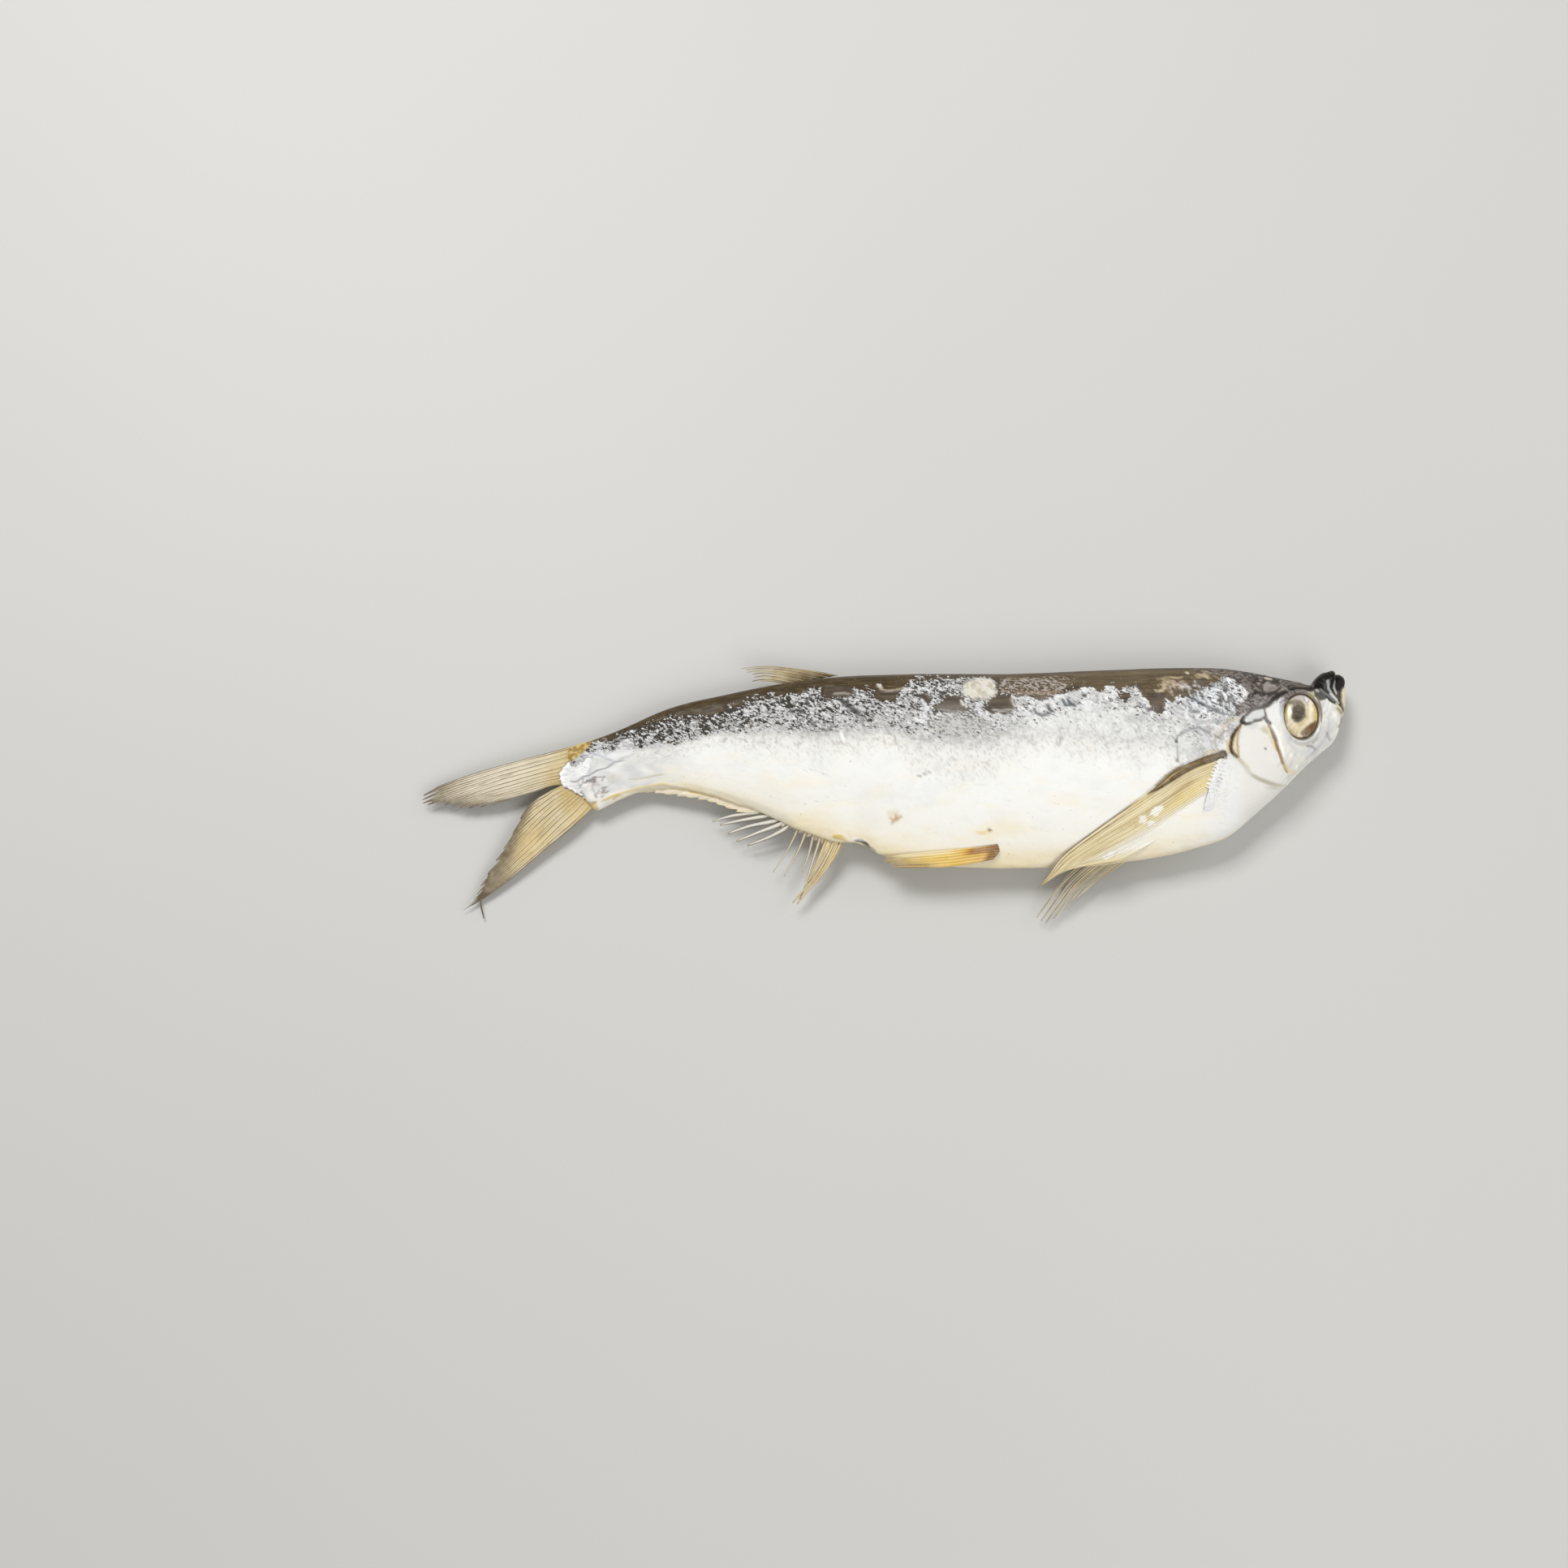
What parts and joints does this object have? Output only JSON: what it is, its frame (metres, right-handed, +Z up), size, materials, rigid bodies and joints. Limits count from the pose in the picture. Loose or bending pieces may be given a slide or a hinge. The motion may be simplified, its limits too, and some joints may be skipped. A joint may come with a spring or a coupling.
{
  "type": "dried salted sabrefish",
  "caption": "Whole dried, salted sabrefish lying flat on its left side, with a deep thin body, sharp belly, upturned mouth, large eye and stiff, frayed fins.",
  "frame": {"origin": "on the flat spot of the left flank that the fish rests on, under the thickest stretch of the body", "axes": "+X towards the head, +Y towards the back, +Z up through the right flank, away from the rest"},
  "size_m": [0.3015, 0.0845, 0.0209],
  "materials": {
    "salted_skin": "dry salted skin, silver white, satin"
  },
  "bodies": {
    "root": {"sabrefish": "salted_skin"}
  },
  "joints": []
}
